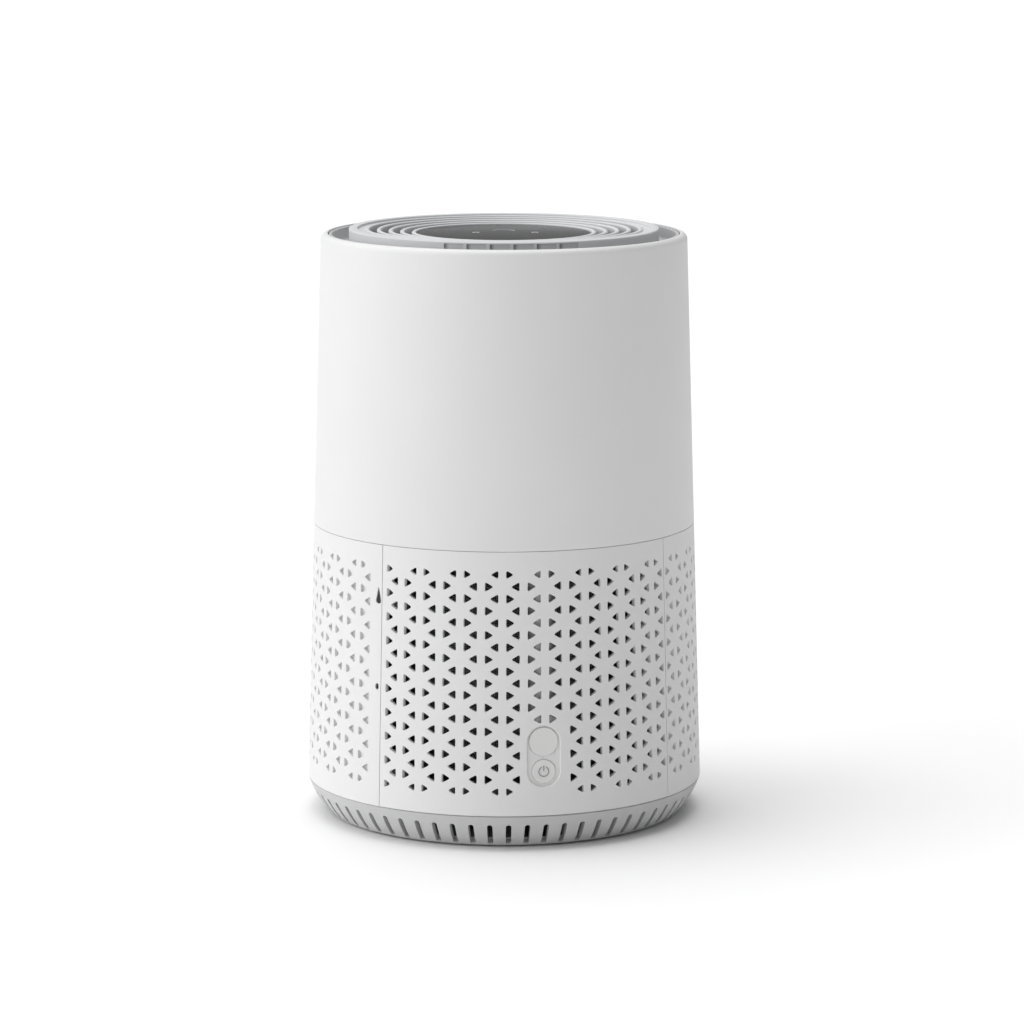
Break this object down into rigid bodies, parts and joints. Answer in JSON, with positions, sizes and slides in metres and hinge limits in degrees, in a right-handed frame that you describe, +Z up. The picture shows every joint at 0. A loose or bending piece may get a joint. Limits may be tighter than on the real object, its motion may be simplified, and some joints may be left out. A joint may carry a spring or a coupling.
{
  "type": "air purifier",
  "caption": "Tapered round tabletop air purifier with a hinged perforated filter door, press buttons, round filter, spinning fan and ring outlet grille.",
  "frame": {"origin": "on the floor, on the body's axis, under the middle of the round base", "axes": "+Z up the body's axis; the door and buttons face -Y; +X to the right seen from the front"},
  "size_m": [0.22, 0.22, 0.3256],
  "materials": {
    "white_abs": "satin moulded",
    "grey_abs": "fine matt moulded",
    "ring_grey_abs": "fine matt moulded",
    "pale_grey_abs": "matt moulded",
    "black_plastic": "matt moulded",
    "rubber": "matt",
    "zinc_steel": "zinc plated",
    "bearing_steel": "ground",
    "electrical_steel": "stamped sheet",
    "brass": "turned",
    "copper_wire": "enamelled",
    "circuit_board": "solder mask",
    "ferrite": "dark matt",
    "mark_ink": "printed",
    "filter_cap": "matt moulded",
    "prefilter_mesh": "fine woven mesh",
    "filter_paper": "pleated fibre",
    "carbon_foam": "open cell",
    "foam_rubber": "closed cell",
    "tab_fabric": "woven tape",
    "fan_plastic": "matt moulded",
    "window_plastic": "frosted translucent",
    "dark_panel": "polished",
    "white_print": "printed"
  },
  "bodies": {
    "case": {"base_plate": "grey_abs", "base_ring": "grey_abs", "rubber_feet": "rubber", "base_screws": "zinc_steel", "filter_tray": "white_abs", "power_board": "circuit_board", "power_board_parts": "black_plastic", "power_inlet": "black_plastic", "power_inlet_pin": "brass", "lower_housing": "white_abs", "hinge_pins": "zinc_steel", "strike_plates": "zinc_steel", "filter_bottom_cap": "filter_cap", "filter_top_cap": "filter_cap", "prefilter_sleeve": "prefilter_mesh", "filter_media": "filter_paper", "carbon_liner": "carbon_foam", "filter_gasket": "foam_rubber", "filter_pull_tab": "tab_fabric", "mid_deck": "pale_grey_abs", "deck_screws": "zinc_steel", "inlet_ring": "pale_grey_abs", "fan_duct": "pale_grey_abs", "guide_vanes": "pale_grey_abs", "motor_mount": "pale_grey_abs", "motor_stator": "electrical_steel", "motor_coils": "copper_wire", "motor_bearings": "bearing_steel", "motor_screws": "zinc_steel", "upper_shell": "white_abs", "outlet_collar": "ring_grey_abs", "outlet_grille": "ring_grey_abs", "indicator_windows": "window_plastic", "panel_cup": "ring_grey_abs", "control_board": "circuit_board", "touch_panel": "dark_panel", "touch_marks": "white_print", "panel_screws": "zinc_steel"},
    "door": {"door_panel": "white_abs", "hinge_arms": "black_plastic", "door_magnets": "ferrite", "button_pod": "white_abs", "harness_cover": "pale_grey_abs", "button_board": "circuit_board", "tact_switches": "black_plastic", "pod_screws": "zinc_steel"},
    "upper_key": {"upper_button": "white_abs"},
    "power_key": {"power_button": "white_abs", "power_mark": "mark_ink"},
    "rotor": {"fan_wheel": "fan_plastic", "fan_blades": "fan_plastic", "fan_shroud": "fan_plastic", "motor_rotor": "electrical_steel", "rotor_magnets": "ferrite", "motor_shaft": "bearing_steel"}
  },
  "joints": [
    {"name": "door_swing", "type": "hinge", "parent": "case", "child": "door", "pos_m": [-0.07305, -0.06871, 0.1343], "axis": [0, 0, -1], "range_deg": [0, 95]},
    {"name": "upper_button_press", "type": "slide", "parent": "door", "child": "upper_key", "axis": [-0.1976, 0.9798, -0.0304], "range_m": [0, 0.0012], "stiffness_N_per_m": 900, "springref_m": -0.0006},
    {"name": "power_button_press", "type": "slide", "parent": "door", "child": "power_key", "axis": [-0.1976, 0.9798, -0.0304], "range_m": [0, 0.001], "stiffness_N_per_m": 900, "springref_m": -0.0006},
    {"name": "fan_spin", "type": "hinge", "parent": "case", "child": "rotor", "pos_m": [0, 0, 0.2], "axis": [0, 0, 1], "continuous": true}
  ]
}
